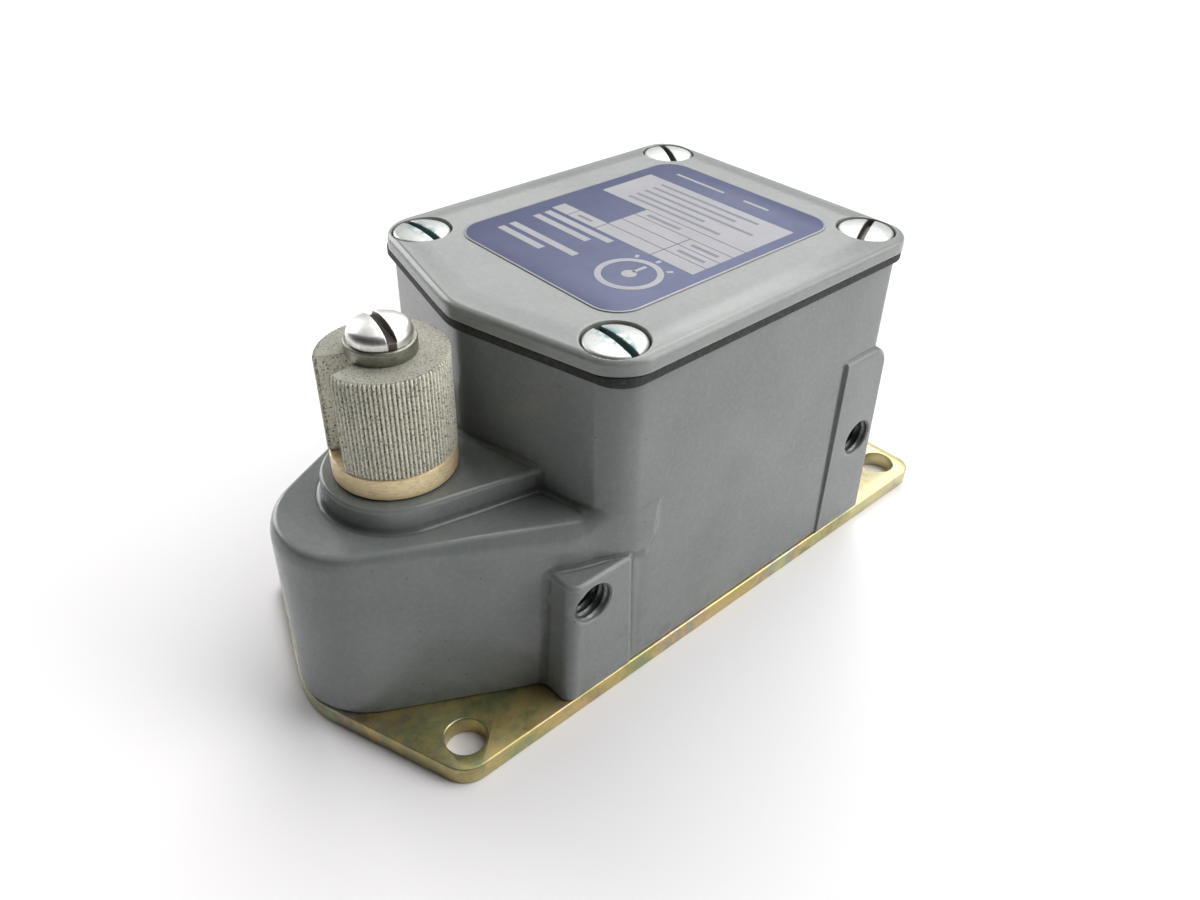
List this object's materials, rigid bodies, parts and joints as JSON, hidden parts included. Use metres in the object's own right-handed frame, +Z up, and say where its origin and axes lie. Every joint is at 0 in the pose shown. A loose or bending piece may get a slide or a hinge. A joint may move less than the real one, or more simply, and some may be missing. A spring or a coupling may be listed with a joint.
{
  "type": "rotary limit switch",
  "caption": "Rotary-shaft limit switch: grey cast box with a round-nosed head, serrated lever hub, bolted cover and a flat mounting plate.",
  "frame": {"origin": "under the middle of the mounting plate, on its underside", "axes": "+Z up from the plate through the cover, +Y along the switch from the shaft head to the conduit entry, +X across it to the side with the visible tapped holes"},
  "size_m": [0.0638, 0.1368, 0.069],
  "materials": {
    "cast_paint": "satin",
    "cover_paint": "satin",
    "chromate": "satin",
    "steel": "satin",
    "hub_steel": "matt",
    "bronze": "satin",
    "copper": "satin",
    "silver": "gloss",
    "black_rubber": "matt",
    "dark_mould": "matt",
    "brown_mould": "matt",
    "label": "satin",
    "green_steel": "satin"
  },
  "bodies": {
    "housing_body": {"base_plate": "chromate", "plate_screws": "steel", "housing": "cast_paint", "cover_gasket": "black_rubber", "cover": "cover_paint", "cover_screws": "steel", "nameplate": "label", "upper_bushing": "bronze", "lower_bushing": "bronze", "shaft_seal": "black_rubber", "switch_base": "dark_mould", "base_screws": "steel", "return_spring_left": "steel", "return_spring_right": "steel", "fixed_terminals": "copper", "fixed_contacts": "silver", "wire_clamps": "chromate", "terminal_screws": "steel", "ground_screw": "green_steel"},
    "rotor": {"shaft": "steel", "shaft_collar": "chromate", "knurled_hub": "hub_steel", "hub_spacer": "steel", "hub_screw": "silver", "retaining_ring": "steel", "crank_arm": "steel", "crank_stud": "silver", "crank_roll_pin": "silver"},
    "slider": {"carriage": "brown_mould", "contact_bridge": "copper", "moving_contacts": "silver", "bridge_springs": "steel"}
  },
  "joints": [
    {"name": "shaft_turn", "type": "hinge", "parent": "housing_body", "child": "rotor", "pos_m": [0, -0.046, 0.03], "axis": [0, 0, 1], "range_deg": [-35, 35], "stiffness_Nm_per_rad": 0.25},
    {"name": "carriage_slide", "type": "slide", "parent": "housing_body", "child": "slider", "axis": [1, 0, 0], "range_m": [-0.0096, 0.0096], "deforming": ["return_spring_left", "return_spring_right"]}
  ],
  "couplings": [
    {"joint": "carriage_slide", "follows": "shaft_turn", "m_per_rad": -0.01528}
  ]
}
